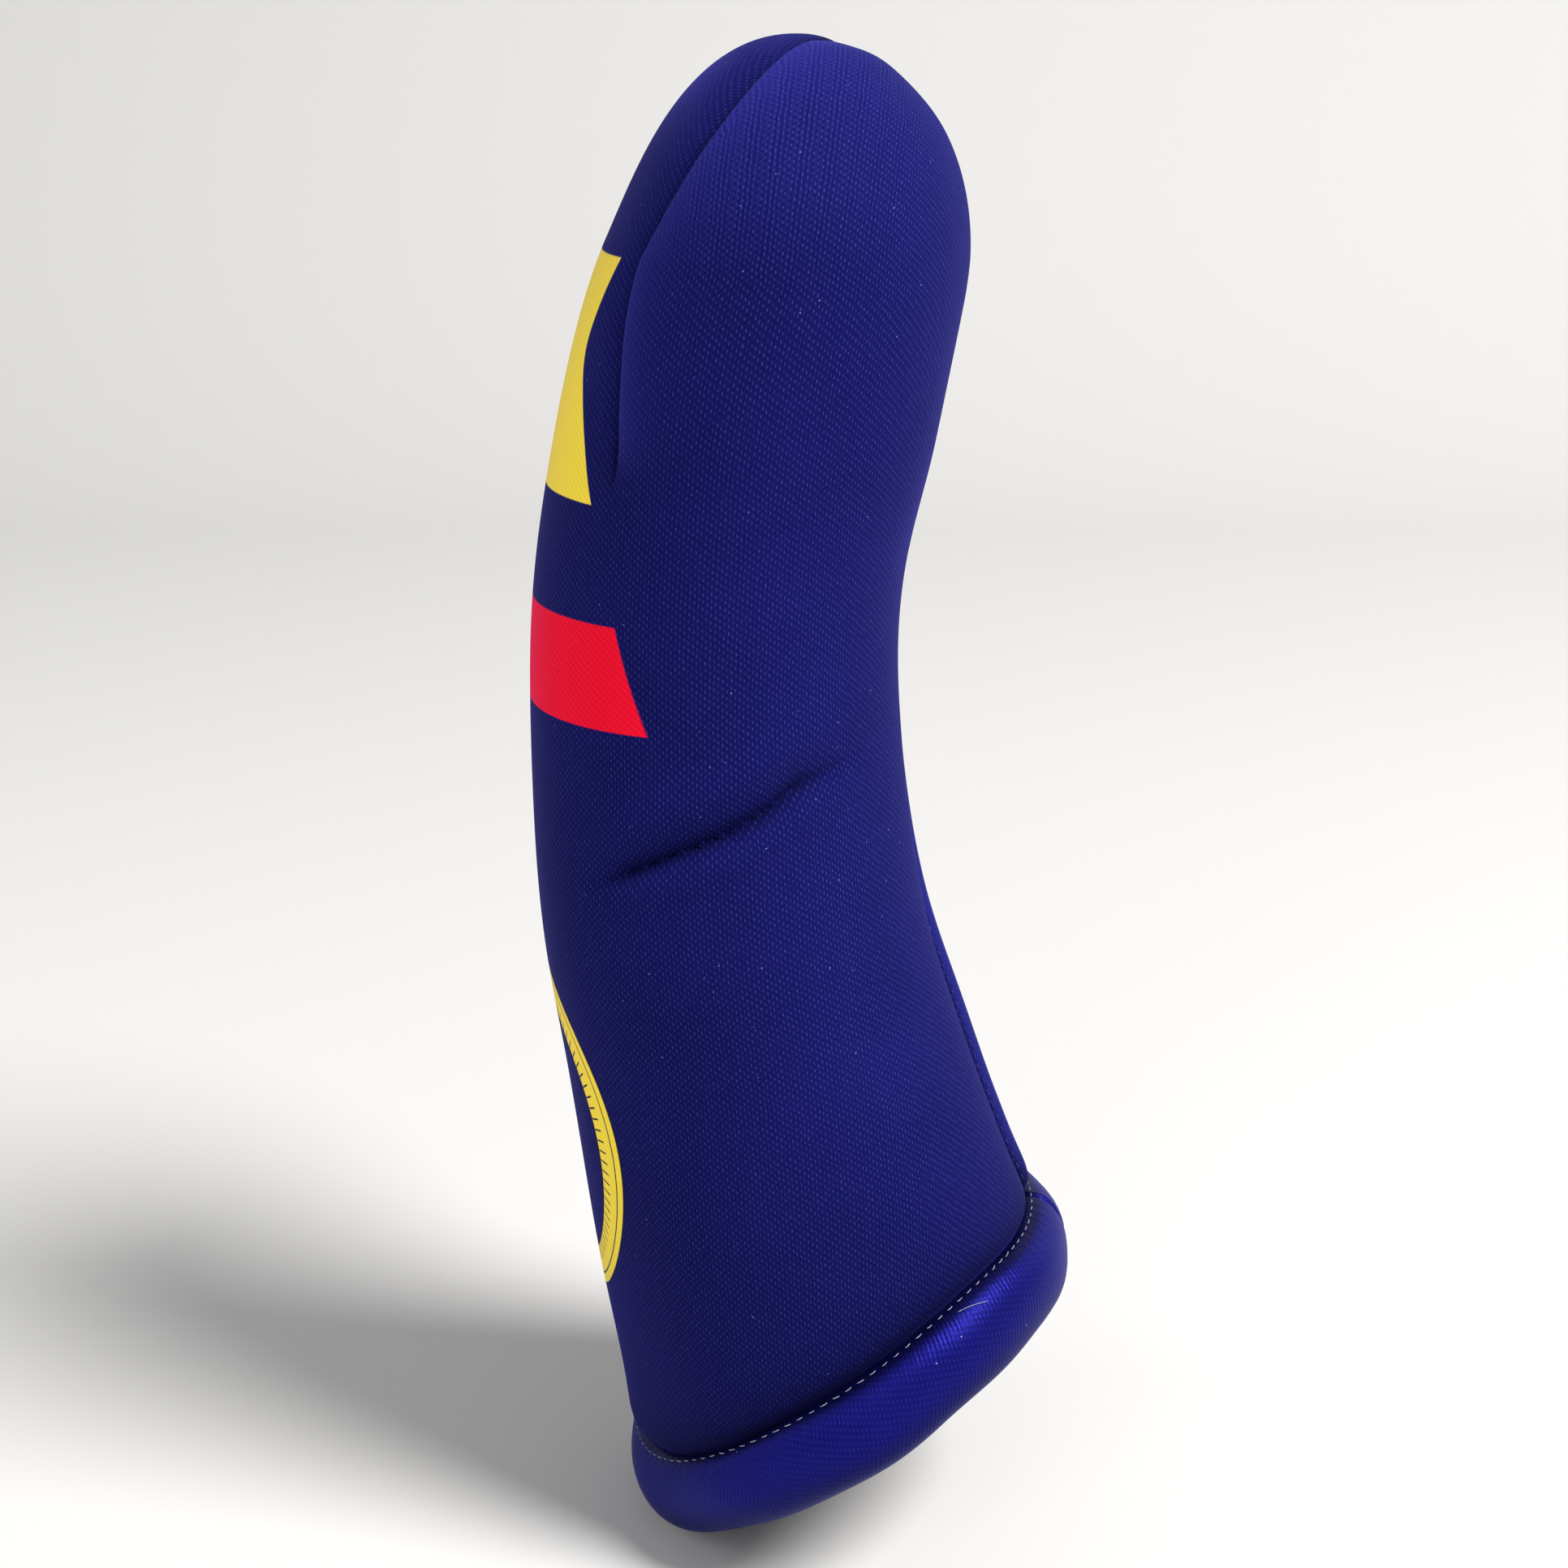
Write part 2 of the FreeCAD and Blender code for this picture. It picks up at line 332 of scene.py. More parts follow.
def puffUp(rows, columns):
    # the panel as a coarse cloth, held at its seams and hem and blown out from inside
    height = np.linspace(0, trialCloth["top"], rows)[:, None]
    across = np.linspace(-1, 1, columns + 1)[None, :-1]
    start = bodySurface(height, across)
    tip = bodySurface(2.0, 0.0)[None]
    points = join([start.reshape(-1, 3), tip]) * mm * trialCloth["scale"]
    quads = gridQuads(rows, columns).tolist()
    lastRow = (rows - 1) * columns
    fan = [[lastRow + i, lastRow + (i + 1) % columns, rows * columns] for i in range(columns)]
    mouth = [list(range(columns))[::-1]]
    mesh = bpy.data.meshes.new("cloth_trial")
    mesh.from_pydata(points.tolist(), [], quads + fan + mouth)
    trial = newObject("cloth_trial", mesh)
    dart = np.abs(np.abs(across) - body["dartShare"]) < 1.01 / columns
    inDart = dart & (height > (dartEndZ - hemZ) / (headZ - hemZ))
    atBack = np.abs(across) > 1 - 1.01 / columns
    held = inDart | atBack | (height < 0.01) | (height > 1.9)
    group = trial.vertex_groups.new(name="held")
    group.add(np.flatnonzero(held.ravel()).tolist() + [rows * columns], 1.0, "REPLACE")
    cloth = trial.modifiers.new("cloth", "CLOTH")
    for name, value in clothSettings.items():
        setattr(cloth.settings, name, value)
    cloth.settings.effector_weights.gravity = 0
    cloth.collision_settings.use_collision = False
    for step in range(1, trialCloth["frames"] + 1):
        bpy.context.scene.frame_set(step)
    bpy.context.view_layer.update()
    shown = trial.evaluated_get(bpy.context.evaluated_depsgraph_get())
    result = np.zeros(len(points) * 3, np.float32)
    shown.data.vertices.foreach_get("co", result)
    moved = (result.reshape(-1, 3) - points)[:-1].reshape(rows, columns, 3) / (mm * trialCloth["scale"])
    bpy.data.objects.remove(trial)
    bpy.context.scene.frame_set(1)
    print("cloth: largest move", float(np.abs(moved).max().round(2)), "mm")
    return height[:, 0], across[0], moved


def splineWeights(position, count, closed):
    # numbers and weights of the four coarse points that share each fine place, by cubic B-spline
    low = np.floor(position).astype(int)
    f = position - low
    second, third = 3 * f ** 3 - 6 * f ** 2 + 4, -3 * f ** 3 + 3 * f ** 2 + 3 * f + 1
    weights = np.stack([(1 - f) ** 3, second, third, f ** 3]) / 6
    numbers = low + np.arange(-1, 3)[:, None]
    return (numbers % count if closed else np.clip(numbers, 0, count - 1)), weights


def spreadMoves(coarse, height, across):
    # the coarse cloth's moves at every fine point, smooth in both directions and capped
    rows, columns, moved = coarse
    rowNumber = height / (rows[1] - rows[0])
    columnNumber = (across + 1) / (columns[1] - columns[0])
    i, wi = splineWeights(rowNumber, len(rows), False)
    j, wj = splineWeights(columnNumber, len(columns), True)
    length = np.linalg.norm(moved, axis=-1, keepdims=True)
    capped = moved * np.minimum(1, trialCloth["cap"] / np.maximum(length, 1e-9))
    byRow = sum(capped[i[k]] * wi[k][:, None, None] for k in range(4))
    return sum(byRow[:, j[k]] * wj[k][None, :, None] for k in range(4))


def gridNormals(points):
    # outward directions of a grid closed in its columns, whose last column repeats the first
    ring = points[:, :-1]
    around = np.roll(ring, -1, axis=1) - np.roll(ring, 1, axis=1)
    up = np.gradient(ring, axis=0)
    normals = unit(np.cross(around, up))
    return join([normals, normals[:, :1]], axis=1)


def ringDistance(points):
    # length along each row from the back seam, in millimetres
    steps = np.linalg.norm(np.diff(points, axis=1), axis=-1)
    return join([np.zeros((len(points), 1)), np.cumsum(steps, axis=1)], axis=1)


dartSeam = {"depth": 3.0, "petalRadius": 4.6, "overhang": 1.1, "tongueFall": 3.6, "puff": 1.6,
            "puffReach": 9.0, "shallow": 0.5}  # the tongue's share of the depth at the dart's lower end
backSeam = {"depth": 0.6, "radius": 1.0, "puff": 0.7, "puffReach": 4.5, "topFade": (262, 279),
            "stepReach": 7, "stepZ": (10, 60, 97, 130, 150, 185, 203, 226, 240, 300),
            "step": (3.5, 3.3, 2.8, 0.6, 0, 0, 1.2, 1.2, 0, 0)}  # how much lower the left panel stands
creases = {
    "near": {"angles": (50, 77, 93, 106, 116, 136), "z": (123, 131, 135.4, 139.6, 143.6, 148),
             "depth": 3.4, "puff": 0.9},
    "far": {"angles": (60, 80, 100, 120, 140, 150), "z": (140, 137, 133, 131, 131, 132),
            "depth": 1.6, "puff": 0.4},
}
foldFall = {"above": 3.2, "below": 1.8, "shadeAbove": 2.0, "shadeBelow": 1.1, "darkest": 3.2}


def dartShape(dart, z, tongueWidth):
    # across the dart: the petal ends in a rounded edge, and the tongue sinks softly towards it
    # returns how far the surface moves out, and how far the petal's rounded edge leans towards the tongue
    fade = smoothStep(dartEndZ - 1, dartEndZ + 15, z) * smoothStep(1.0, 16.0, tongueWidth)
    radius = dartSeam["petalRadius"] * (0.25 + 0.75 * fade)
    rim = np.clip(1 - dart / radius, 0, 1)
    petal = -(1 - np.sqrt(1 - rim ** 2)) * dartSeam["depth"]
    near = dart / dartSeam["puffReach"]
    petal = petal + dartSeam["puff"] * near * np.exp(1 - np.clip(near, 0, None))
    shallow = dartSeam["shallow"]
    tongue = -dartSeam["depth"] * (shallow + (1 - shallow) * smoothStep(215, 258, z))
    tongue = tongue * np.exp(dart / dartSeam["tongueFall"])
    lean = dartSeam["overhang"] * np.sin(np.pi * np.clip(dart / radius, 0, 1))
    out = np.where(dart >= 0, petal, tongue) * fade
    return out, np.where(dart >= 0, lean, 0) * fade


def backShape(back, side, z):
    # the back seam: a narrow groove between two puffed edges; the left panel stands a little lower
    step = np.clip(through(backSeam["stepZ"], backSeam["step"], z), 0, None)
    fade = 1 - smoothStep(*backSeam["topFade"], z)
    groove = -backSeam["depth"] * np.exp(-(back / backSeam["radius"]) ** 2)
    near = back / backSeam["puffReach"]
    puff = backSeam["puff"] * near * np.exp(1 - near)
    lower = np.where(side > 0, step * np.exp(-back / backSeam["stepReach"]), 0)
    return (groove + puff - lower) * fade


def creaseShape(points, angle):
    # a fold across each side of the waist: sharp underneath and soft above, fading at both ends; it also
    # gives the painted shade along each fold
    degrees = np.degrees(np.abs(angle))
    total, shade = 0, 0
    for name, side in (("near", 1), ("far", -1)):
        fold = creases[name]
        away = points[..., 2] - np.interp(degrees, fold["angles"], fold["z"])
        ends = smoothStep(fold["angles"][0] - 4, fold["angles"][0] + 16, degrees)
        ends = ends * (1 - smoothStep(fold["angles"][-1] - 26, fold["angles"][-1] + 6, degrees))
        ends = ends * (np.sign(angle) == side)
        above, below = foldFall["above"], foldFall["below"]
        shape = -fold["depth"] * np.where(away > 0, np.exp(-away / above), np.exp(away / below))
        for middle, width in ((-5, 3.5), (9, 5)):
            shape = shape + fold["puff"] * np.exp(-((away - middle) / width) ** 2)
        total = total + shape * ends
        above, below = foldFall["shadeAbove"], foldFall["shadeBelow"]
        dark = np.where(away > 0, np.exp(-away / above), np.exp(away / below))
        shade = shade + dark * ends * fold["depth"] / foldFall["darkest"]
    return total, shade


# the cloth's tuck at the hem, its waves and its crown, and the foam's own tuck, in millimetres
finish = {"hemTuck": 1.7, "hemReach": 1.3, "hemPuff": 0.7, "puffReach": 4, "wave": 0.4, "crown": 1.1,
          "foamTuck": 2.3, "foamReach": 3.5, "tipRise": 0.6, "waistZ": 150, "petalRise": 46}


def makeBody():
    # every layer is the same finished surface, moved in along the plain shape's own directions
    tubeRows = int((headZ - hemZ) / body["rowStep"])
    height = join([np.linspace(-0.019, 1, tubeRows, endpoint=False), np.linspace(1, 1.985, body["domeRows"])])
    across = bodyColumns()
    h, a = height[:, None], across[None, :]
    base = bodySurface(h, a)
    normals = gridNormals(base)
    z, t = base[..., 2], np.clip(h - 1, 0, 1) + 0 * a
    arc = ringDistance(base)
    front = int(np.argmin(np.abs(across)))
    share = body["dartShare"]
    right = int(np.argmin(np.abs(across - share)))
    left = int(np.argmin(np.abs(across + share)))
    u = arc - arc[:, front:front + 1]
    dart = np.where(a >= 0, u - u[:, right:right + 1], u[:, left:left + 1] - u)
    back = np.minimum(arc, arc[:, -1:] - arc)
    tongueWidth = u[:, right:right + 1] + 0 * a
    along = np.cumsum(np.linalg.norm(np.diff(base, axis=0, prepend=base[:1]), axis=-1), axis=0)
    along = along - along[int(np.argmin(np.abs(height)))]
    angle = roundAngle(a, dartAngle(np.clip(z, hemZ, headZ), t))
    fromSeam = np.maximum(along - hemLift(angle), 0)

    start = base
    slack = body["slack"] * (1 - np.exp(-np.maximum(along, 0) / 8)) * smoothStep(0.0, 10.0, tongueWidth)
    slack = slack * (1 - 0.9 * smoothStep(0, 0.6, t))
    moves = spreadMoves(puffUp(64, 80), np.clip(height, 0, trialCloth["top"]), across)
    start = base - normals * slack[..., None] + moves
    out, lean = dartShape(dart, z, tongueWidth)
    out = out + backShape(back, a, z)
    fold, folded = creaseShape(base, angle)
    out = out + fold
    calm = 1 - smoothStep(205, 236, z)
    out = out + finish["wave"] * np.sin(z / 17 + 2.1 * angle) * np.sin(z / 31 - 3 * angle) * calm
    near = fromSeam / finish["puffReach"]
    out = out - finish["hemTuck"] * np.exp(-fromSeam / finish["hemReach"])
    out = out + finish["hemPuff"] * near * np.exp(1 - near)
    sideways = unit(np.roll(base, -1, axis=1) - np.roll(base, 1, axis=1))
    crown = finish["crown"] * smoothStep(0.1, 0.7, t) * (1 - np.exp(np.minimum(dart, 0) / 5))
    out = out + np.where(dart < 0, crown, 0)
    final = start + normals * out[..., None] - sideways * (lean * np.sign(a))[..., None]
    final[:, -1] = final[:, 0]

    # the petals' stitches stay upright: on the dome they run over it in planes across the cover
    ring = int(np.searchsorted(height, 1.0))
    waist = int(np.searchsorted(height, (finish["waistZ"] - hemZ) / (headZ - hemZ)))
    grain = along - along[waist] + finish["waistZ"]
    local = (base - [0, body["y"][-1], headZ]) / [body["width"][-1], body["depth"][-1], body["domeHeight"]]
    level = np.clip(-local[..., 1] * 0.99 + local[..., 2] * 0.166, -1, 1)
    place = np.arccos(level)
    petalU = np.sign(a) * np.interp(place, angle[ring, front:], u[ring, front:])
    rise = np.arctan2(np.maximum(local[..., 2] + 0.12 * local[..., 1], 0), np.abs(local[..., 0]))
    petalV = grain[ring][None, :] + finish["petalRise"] * np.sqrt(1 - level ** 2) * rise
    above = (h > 1) & (np.abs(a) >= share - 1e-9)
    panelU = np.where(above, petalU, u)
    panelV = np.where(above, petalV, grain)

    # painted shade: the colour darkens by the hem seam and a little way up from it, in the dart's groove,
    # along the creases and in the back seam's groove
    edges = np.exp(-fromSeam / 4.5) + 0.3 * np.exp(-fromSeam / 35)
    pocketWidth = 1.3 + 1.0 * smoothStep(225, 262, z)
    pocket = np.where(dart < 0, 1.3 * np.exp(dart / pocketWidth), np.exp(-dart / 0.8))
    pocket = pocket * smoothStep(dartEndZ - 2, dartEndZ + 8, z)
    paintedShade = np.clip(edges + pocket + folded + 0.4 * np.exp(-back / 0.5) * (z < 262), 0, 1)
    gather = smoothStep(225, 258, z) * np.where(dart > 0, np.exp(-dart / 25), 0.25)
    # painted highlight: the petal's edge beside the dart is coloured paler, as if lit, and so is the back
    # seam's left edge on the lower body
    rim = smoothStep(0.2, 1.3, dart) * np.exp(-np.maximum(dart - 1.3, 0) / 5)
    rim = rim * smoothStep(dartEndZ, dartEndZ + 14, z)
    paintedBackHighlight = np.where(a < 0, np.exp(-np.maximum(back - 0.4, 0) / 4), 0)
    rim = rim + 0.65 * paintedBackHighlight * (1 - smoothStep(150, 190, z))
    nearDart = smoothStep(dartEndZ - 4, dartEndZ + 4, z)
    tuck = finish["foamTuck"] * np.exp(-(dart / finish["foamReach"]) ** 2) * nearDart
    toTip = bodySurface(2.0, 0.0) - base[-1, :-1].mean(0)
    tip = final[-1, :-1].mean(0) + toTip * finish["tipRise"]
    return {"height": height, "across": across, "final": final, "normals": normals, "tip": tip,
            "u": panelU, "v": panelV, "tongueU": u, "tongueV": grain,
            "marks": {"paintedShade": paintedShade, "gather": gather, "rim": rim},
            "tuck": tuck, "right": right, "left": left}


def cornerUv(u, v):
    # one pair of panel coordinates for every corner of the grid's quads, in millimetres
    quads = gridQuads(*u.shape, wrap=False)
    return np.stack([u.ravel()[quads], v.ravel()[quads]], -1)


def cupShell(name, shape, insets, material, step=1, tucked=0):
    # two nested cups, each closed at its tip, joined round the hem; insets are depths in millimetres
    # a tucked outer cup keeps clear of the darts' grooves
    layers, faces, uv, start = [], [], [], 0
    marks = {mark: [] for mark in shape["marks"]}
    columns = shape["final"].shape[1] - 1
    rims = []
    tipNormal = unit(shape["normals"][-1, :-1].mean(0))
    rowCount = len(shape["height"])
    for inset, each, inward in ((insets[0], step, False), (insets[1], 2 * step, True)):
        rows = np.unique(np.append(np.arange(0, rowCount, each), rowCount - 1))
        sunk = inset + shape["tuck"][rows] * (0 if inward else tucked)
        grid = shape["final"][rows] - sunk[..., None] * shape["normals"][rows]
        u, v = shape["u"][rows], shape["v"][rows]
        for mark, values in shape["marks"].items():
            marks[mark] += [values[rows][:, :-1].ravel(), values[rows[-1:], :1].ravel()]
        layers += [grid[:, :-1].reshape(-1, 3), (shape["tip"] - inset * tipNormal)[None]]
        quads = gridQuads(len(rows), columns, flip=inward) + start
        corners = cornerUv(u, v)
        tongue = cornerUv(shape["tongueU"][rows], shape["tongueV"][rows])
        column = np.arange(len(corners)) % columns
        between = (column >= shape["left"]) & (column < shape["right"])
        corners = np.where(between[:, None, None], tongue, corners)
        faces += quads.tolist()
        uv.append((corners[:, ::-1] if inward else corners).reshape(-1, 2))
        last = start + (len(rows) - 1) * columns
        here, after = (last + ring for ring in neighbours(columns))
        fan = np.stack([here, after, np.full(columns, last + columns)], -1)
        fanUv = np.stack([np.stack([u[-1, :-1], v[-1, :-1]], -1), np.stack([u[-1, 1:], v[-1, 1:]], -1),
                          np.stack([(u[-1, :-1] + u[-1, 1:]) / 2, v[-1, :-1] + 1], -1)], 1)
        faces += (fan[:, ::-1] if inward else fan).tolist()
        uv.append((fanUv[:, ::-1] if inward else fanUv).reshape(-1, 2))
        rims.append(start)
        start += len(rows) * columns + 1
    here, after = neighbours(columns)
    faces += np.stack([rims[1] + here, rims[1] + after, rims[0] + after, rims[0] + here], -1).tolist()
    rimUv = np.stack([shape["u"][0, :-1], shape["u"][0, 1:], shape["u"][0, 1:], shape["u"][0, :-1]], -1)
    drop = np.array([-insets[1], -insets[1], 0, 0]) + 0 * rimUv
    uv.append(np.stack([rimUv, drop], -1).reshape(-1, 2))
    marks = {mark: join(values) for mark, values in marks.items()}
    return newPiece(name, join(layers), faces, material, join(uv), marks)


# the roll round the mouth, in millimetres and degrees
band = {
    "stitches": 108,
    "columnsPerStitch": 7,
    "section": 40,
    "halfHeight": 9.1,
    "halfDepth": 6.5,
    "sunk": (3.7, 1.5),  # how far its middle lies inside the wall, at the front and at the back
    "dimple": 0.06,  # how deep each stitch pulls the strip in
    "seamTurn": 38,  # where round the section the stitches pull, from the top
    "seamWidth": 20,
    "skin": 0.7,
    "radius": 50,
    "endGroove": 0.9,  # depth and width of the groove where the strip's ends meet
}


def rollSunk(angle):
    # how far the roll's middle lies inside the wall, from the front round to the back
    front, rear = band["sunk"]
    return front + (rear - front) * (1 - np.cos(angle)) / 2


def bandFrame(angle):
    # at each place round the hem: the wall's edge, the way down along it, and the way out
    here = tubePoints(hemZ + 0 * angle, angle)
    down = unit(here - tubePoints(hemZ + 2 + 0 * angle, angle))
    around = unit(tubePoints(hemZ + 0 * angle, angle + 0.01) - tubePoints(hemZ + 0 * angle, angle - 0.01))
    out = unit(np.cross(down, around))
    middle = np.array([0, body["y"][0], hemZ])
    out = out * np.sign((out * (here - middle)).sum(-1, keepdims=True))
    return here - hemLift(angle)[..., None] * down, down, around, out


def rollPoints(angle, turn, inset):
    # an ellipse in section, carried round the hem: down the wall and out from it
    # each stitch and the meeting ends pull it in, and slow waves make it uneven
    here, down, _, out = bandFrame(angle)
    high, deep = rollHalf(angle) - inset, band["halfDepth"] - inset
    p = rollHalf(angle) - high * np.cos(turn)
    q = -rollSunk(angle) + deep * np.sin(turn)
    away = np.degrees(np.arccos(np.clip(np.cos(turn - math.radians(band["seamTurn"])), -1, 1)))
    pull = (0.5 + 0.5 * np.cos(angle * band["stitches"])) * np.exp(-(away / band["seamWidth"]) ** 2)
    pull = pull * band["dimple"]
    fromEnd = (np.pi - np.abs(angle)) * band["radius"]
    ends = np.exp(-(fromEnd / band["endGroove"]) ** 2) * band["endGroove"]
    wobble = 0.22 * np.sin(5 * angle + 1.3 * np.cos(turn)) + 0.15 * np.sin(11 * angle - 2 * turn)
    normalP, normalQ = -np.cos(turn) / high, np.sin(turn) / deep
    size = np.sqrt(normalP ** 2 + normalQ ** 2)
    move = wobble - pull - ends
    p, q = p + move * normalP / size, q + move * normalQ / size
    return here + p[..., None] * down + q[..., None] * out, here


def bandSurface(count, section, inset):
    # the roll as a grid: rows round its section and columns round the hem, with panel millimetres and painted
    # shade
    angle = np.linspace(-np.pi, np.pi, count + 1)[None, :]
    turn = np.linspace(0, 2 * np.pi, section, endpoint=False)[:, None]
    points, here = rollPoints(angle, turn, inset)
    along = np.cumsum(join([[0], np.linalg.norm(np.diff(here[0], axis=0), axis=-1)]))
    u = along[None, :] - along[-1] / 2 + 0 * turn
    steps = np.diff(points[:, 0], axis=0, prepend=points[:1, 0])
    v = np.cumsum(np.linalg.norm(steps, axis=-1))[:, None] + 0 * angle
    degrees = np.degrees(turn) + 0 * angle
    # painted shade: darker just by the stitches, and darker on the underside that faces away from the light
    seam = 1 - smoothStep(24, 42, degrees)
    under = 0.62 * smoothStep(82, 140, degrees)
    return points, u, v, np.maximum(seam, under)


def ringTube(count, section, inset, inward, start):
    # a closed tube: the section's last row joins its first
    points, u, v, paintedShade = bandSurface(count, section, inset)
    closed = join([points, points[:1]], axis=0)
    u, v = join([u, u[:1]]), join([v, v[-1:] + (v[-1:] - v[-2:-1])])
    quads = gridQuads(len(closed), count, flip=not inward)
    quads = quads % (section * count) + start
    corners = cornerUv(u, v) if inward else cornerUv(u, v)[:, ::-1]
    return points[:, :-1].reshape(-1, 3), quads, corners, paintedShade[:, :-1].ravel()


def bandShell(name, insets, material, coarser):
    # a tube inside a tube; the inner one faces inwards and has fewer faces
    count, section = band["stitches"] * band["columnsPerStitch"], band["section"]
    parts = [ringTube(count, section, insets[0], False, 0)]
    if len(insets) > 1:
        parts.append(ringTube(count // coarser, section // 2, insets[1], True, len(parts[0][0])))
    points = join([part[0] for part in parts])
    faces = [face for part in parts for face in part[1].tolist()]
    uv = join([part[2].reshape(-1, 2) for part in parts])
    marks = {"paintedShade": join([part[3] for part in parts])}
    return newPiece(name, points, faces, material, uv, marks)


# sewing thread, in millimetres
thread = {"hemLength": 1.6, "hemRadius": 0.095, "hemSink": 0.6, "hemRise": 0.3, "hemOut": 0.1, "hemSeed": 3,
          "seamRadius": 0.16, "arch": 0.22, "rings": 6, "sides": 6}
# pitch along the seam, height over the cloth, a stitch's length, and the seed of its small differences
seams = {"dart": (3.0, -0.05, 1.7, 5), "back": (3.0, -0.3, 1.7, 7), "end": (2.2, 0.05, 1.4, 9)}


def rodFaces(rows, sides):
    # a rod's quads, and the triangles that run to a point at each of its ends
    here, after = neighbours(sides)
    last = (rows - 1) * sides
    first = np.stack([after, here, np.full(sides, rows * sides)], -1)
    final = np.stack([last + here, last + after, np.full(sides, rows * sides + 1)], -1)
    return gridQuads(rows, sides), first, final


def stitchMesh(centres, along, out, length, radius, seed):
    # each stitch is a small rounded rod, arched in the middle; its rings follow half a circle
    rng = np.random.default_rng(seed)
    n = len(centres)
    length = length * (1 + 0.10 * rng.standard_normal((n, 1))).clip(0.75, 1.25)
    turn = np.radians(5 * rng.standard_normal((n, 1)))
    side = unit(np.cross(along, out))
    along = along * np.cos(turn) + side * np.sin(turn)
    side = unit(np.cross(along, out))
    s = np.linspace(-1, 1, thread["rings"] + 2)[1:-1]
    ringRadius = radius * (1 - np.abs(s) ** 5) ** 0.5
    a = np.linspace(0, 2 * np.pi, thread["sides"], endpoint=False)
    rise = thread["arch"] * (1 - s ** 2)
    middle = centres[:, None] + along[:, None] * (s[None, :, None] * length[..., None] / 2)
    middle = middle + out[:, None] * rise[None, :, None]
    cosine, sine = np.cos(a)[None, None, :, None], np.sin(a)[None, None, :, None]
    around = side[:, None, None] * cosine + out[:, None, None] * sine
    rings = middle[:, :, None] + around * ringRadius[None, :, None, None]
    ends = np.stack([centres - along * length / 2, centres + along * length / 2], 1)
    points = join([rings.reshape(n, -1, 3), ends], axis=1)
    shift = (np.arange(n) * points.shape[1])[:, None, None]
    faces = []
    for part in rodFaces(thread["rings"], thread["sides"]):
        faces += (part[None, :, ::-1] + shift).reshape(-1, part.shape[1]).tolist()
    return points.reshape(-1, 3), faces


def looseEnd(path, radius):
    # a thin round thread along a path: rings square to it, with a point at each end
    along = unit(np.gradient(path, axis=0))
    side = unit(np.cross(along, np.array([0.3, 0.1, 1.0])))
    up = np.cross(side, along)
    a = np.linspace(0, 2 * np.pi, thread["sides"], endpoint=False)
    around = side[1:-1, None] * np.cos(a)[:, None] + up[1:-1, None] * np.sin(a)[:, None]
    rings = path[1:-1, None] + radius * around
    points = join([rings.reshape(-1, 3), path[:1], path[-1:]])
    return points, [face for part in rodFaces(*rings.shape[:2]) for face in part.tolist()]


def seamPiece(name, kind, points, normals):
    # a seam's row of stitches as one piece
    pitch, lift, length, seed = seams[kind]
    stitches = stitchMesh(*seamRow(points, normals, pitch, lift), length, thread["seamRadius"], seed)
    return newPiece(name, *stitches, blueThread)


def seamRow(points, normals, pitch, lift):
    # places at one pitch along a line of points, with the line's direction and the way out
    length = join([[0], np.cumsum(np.linalg.norm(np.diff(points, axis=0), axis=-1))])
    stops = np.arange(pitch / 2, length[-1], pitch)

    def atStops(values):
        return np.stack([np.interp(stops, length, values[:, k]) for k in range(3)], -1)

    place, out = atStops(points), unit(atStops(normals))
    along = unit(atStops(np.gradient(points, length, axis=0)))
    out = unit(out - along * (out * along).sum(-1, keepdims=True))
    return place + out * lift, along, out


knit = {
    "columnGap": 0.82,  # millimetres between neighbouring columns of stitches
    "rowGap": 1.4,  # millimetres from one pale float to the next in a column
    "lag": -0.42,  # how far along its row each column starts, as a share of a row
    "deep": "#0f114a", "cloud": "#131455", "float": "#38398c",
    # the gathered ribs are coloured in pale and dark stripes: painted light and shade on their ridges
    "rib": "#2c2d84", "ribGap": 1.0,  # the gathered ribs at the top
    # a share and a tone for the painted shade in the marked grooves, and for the painted highlight on the
    # marked rims
    "paintedShade": (0.88, "#05051c"), "rim": (0.8, "#292b86"),
    "lint": {"gap": 3.6, "size": 0.18, "share": 0.5, "tone": "#70709e"},
}
prints = {
    "yellow": "#ffea4e", "yellowDeep": "#fcd834", "red": "#fb1430", "redDeep": "#e61029", "ink": "#16163a",
    "frontY": -20.0,  # the prints lie in front of this
    "blazeTop": 242.0, "blazeFoot": 197.4, "blazeRound": 5.0,
    "blazeSides": ((20.8, 222, -0.45), (21.1, 230, 0.27)),  # half width at a height, and its slope
    "barTop": 175.2, "barFoot": 154.7, "barHalf": (37.4, 39.6),
    "ringCentre": 62.0, "ringHalf": (27.0, 33.0), "ringBand": 6.5, "hatches": 84.0,
}
floatShape = {"narrow": 11.0, "start": -0.1, "full": 0.7}


def wave(add, value, pitch):
    # a cosine that repeats every pitch millimetres
    turn = add("Math", (value, 2 * math.pi / pitch), "MULTIPLY")[0]
    return add("Math", (turn,), "COSINE")[0]


def stagger(add, u, v, columnGap, rowGap, lag):
    # the size of a wave across the columns, times a wave along them: each column starts a share of a row
    # later than its neighbour, so the pale floats line up aslant
    across = add("Math", (wave(add, u, 2 * columnGap),), "ABSOLUTE")[0]
    along = add("Math", (u, -lag * rowGap / columnGap, v), "MULTIPLY_ADD")[0]
    along = wave(add, along, rowGap)
    both = add("Math", (across, along), "MULTIPLY")[0]
    narrow = add("Math", (across, floatShape["narrow"]), "POWER")[0]
    limits = (along, floatShape["start"], floatShape["full"])
    long = add("MapRange", limits, interpolation_type="SMOOTHSTEP")[0]
    return both, add("Math", (narrow, long), "MULTIPLY")[0]


